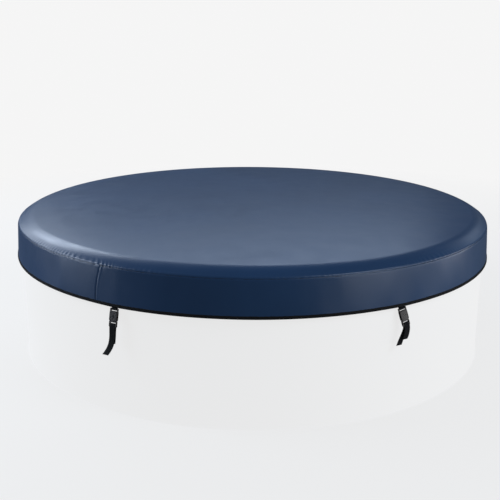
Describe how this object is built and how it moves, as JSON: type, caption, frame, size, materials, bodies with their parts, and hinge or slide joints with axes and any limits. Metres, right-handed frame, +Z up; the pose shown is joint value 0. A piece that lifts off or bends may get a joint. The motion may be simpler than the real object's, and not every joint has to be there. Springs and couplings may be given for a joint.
{
  "type": "spa cover",
  "caption": "Round crowned cover for an inflatable spa: padded top with an air insert, short skirt, zipped liner and hanging straps with locking release buckles.",
  "frame": {"origin": "centre of the hem opening, level with the lower edge of the hem binding", "axes": "+Z up through the crown; -Y is the front of the cover; -Z is the way a tub enters the hem opening"},
  "size_m": [2.08, 2.08, 0.356],
  "materials": {
    "navy_laminate": "semi-gloss coated fabric with a fine leather-like grain",
    "black_binding": "woven binding tape",
    "black_webbing": "woven polyester webbing",
    "silver_liner": "foil-faced liner",
    "insert_film": "heat-sealed vinyl sheet",
    "buckle_plastic": "moulded acetal with a fine spark finish",
    "lock_plastic": "smooth moulded plastic",
    "zip_nylon": "nylon teeth",
    "zip_metal": "nickel-plated zinc",
    "valve_vinyl": "soft moulded vinyl",
    "valve_rubber": "thin rubber"
  },
  "bodies": {
    "cover": {"top_panel": "navy_laminate", "skirt_panel_front": "navy_laminate", "skirt_panel_rear": "navy_laminate", "skirt_seam_tapes": "black_webbing", "top_seam_tape": "black_webbing", "hem_binding": "black_binding", "liner_rim_band": "silver_liner", "liner_centre_panel": "silver_liner", "liner_seam_tape": "black_webbing", "zip_tapes": "black_webbing", "zip_teeth": "zip_nylon", "zip_end_stops": "zip_metal", "bladder_top_sheet": "insert_film", "bladder_bottom_sheet": "insert_film", "bladder_web_1": "insert_film", "bladder_web_2": "insert_film", "bladder_web_3": "insert_film", "bladder_web_4": "insert_film", "valve_body": "valve_vinyl", "valve_diaphragm": "valve_rubber", "hanger_loop_1": "black_webbing", "hanger_loop_2": "black_webbing", "hanger_loop_3": "black_webbing", "hanger_loop_4": "black_webbing"},
    "socket_1": {"buckle_socket_1": "buckle_plastic"},
    "lock_1": {"lock_barrel_1": "lock_plastic"},
    "clip_1": {"buckle_clip_1": "buckle_plastic", "strap_tail_1": "black_webbing"},
    "socket_2": {"buckle_socket_2": "buckle_plastic"},
    "lock_2": {"lock_barrel_2": "lock_plastic"},
    "clip_2": {"buckle_clip_2": "buckle_plastic", "strap_tail_2": "black_webbing"},
    "socket_3": {"buckle_socket_3": "buckle_plastic"},
    "lock_3": {"lock_barrel_3": "lock_plastic"},
    "clip_3": {"buckle_clip_3": "buckle_plastic", "strap_tail_3": "black_webbing"},
    "socket_4": {"buckle_socket_4": "buckle_plastic"},
    "lock_4": {"lock_barrel_4": "lock_plastic"},
    "clip_4": {"buckle_clip_4": "buckle_plastic", "strap_tail_4": "black_webbing"},
    "slider": {"zip_slider": "zip_metal"},
    "pull": {"zip_pull": "zip_metal"},
    "cap": {"valve_cap": "valve_vinyl"}
  },
  "joints": [
    {"name": "buckle_swing_1", "type": "hinge", "parent": "cover", "child": "socket_1", "pos_m": [-0.507, -0.90346, -0.009], "axis": [-0.8721, 0.4894, 0], "range_deg": [-12, 88]},
    {"name": "lock_turn_1", "type": "hinge", "parent": "socket_1", "child": "lock_1", "pos_m": [-0.51204, -0.91244, -0.03339], "axis": [-0.4787, -0.853, 0.2079], "range_deg": [0, 90]},
    {"name": "clip_release_1", "type": "slide", "parent": "socket_1", "child": "clip_1", "axis": [-0.1017, -0.1813, -0.9781], "range_m": [0, 0.04]},
    {"name": "buckle_swing_2", "type": "hinge", "parent": "cover", "child": "socket_2", "pos_m": [0.51172, -0.9008, -0.009], "axis": [-0.8563, -0.4864, -0.1736], "range_deg": [-15, 50]},
    {"name": "lock_turn_2", "type": "hinge", "parent": "socket_2", "child": "lock_2", "pos_m": [0.52103, -0.9088, -0.03246], "axis": [0.438, -0.8621, 0.2549], "range_deg": [0, 90]},
    {"name": "clip_release_2", "type": "slide", "parent": "socket_2", "child": "clip_2", "axis": [0.2737, -0.1422, -0.9513], "range_m": [0, 0.04]},
    {"name": "buckle_swing_3", "type": "hinge", "parent": "cover", "child": "socket_3", "pos_m": [0.518, 0.8972, -0.009], "axis": [0.8648, -0.4993, -0.0523], "range_deg": [-12, 88]},
    {"name": "lock_turn_3", "type": "hinge", "parent": "socket_3", "child": "lock_3", "pos_m": [0.52204, 0.90676, -0.03336], "axis": [0.4985, 0.8417, 0.2076], "range_deg": [0, 90]},
    {"name": "clip_release_3", "type": "slide", "parent": "socket_3", "child": "clip_3", "axis": [0.0596, 0.2057, -0.9768], "range_m": [0, 0.04]},
    {"name": "buckle_swing_4", "type": "hinge", "parent": "cover", "child": "socket_4", "pos_m": [-0.518, 0.8972, -0.009], "axis": [0.8648, 0.4993, 0.0523], "range_deg": [-9, 91]},
    {"name": "lock_turn_4", "type": "hinge", "parent": "socket_4", "child": "lock_4", "pos_m": [-0.52137, 0.90565, -0.03386], "axis": [-0.5009, 0.8513, 0.1562], "range_deg": [0, 90]},
    {"name": "clip_release_4", "type": "slide", "parent": "socket_4", "child": "clip_4", "axis": [-0.0335, 0.1613, -0.9863], "range_m": [0, 0.04]},
    {"name": "zip_run", "type": "hinge", "parent": "cover", "child": "slider", "pos_m": [0, 0, 0.12], "axis": [0, 0, 1], "range_deg": [0, 74]},
    {"name": "pull_swing", "type": "hinge", "parent": "slider", "child": "pull", "pos_m": [0.42127, 0.55905, 0.1145], "axis": [0.6018, 0.7986, 0], "range_deg": [-75, 75]},
    {"name": "cap_open", "type": "hinge", "parent": "cover", "child": "cap", "pos_m": [0, 0.539, 0.108], "axis": [-1, 0, 0], "range_deg": [0, 120]}
  ]
}
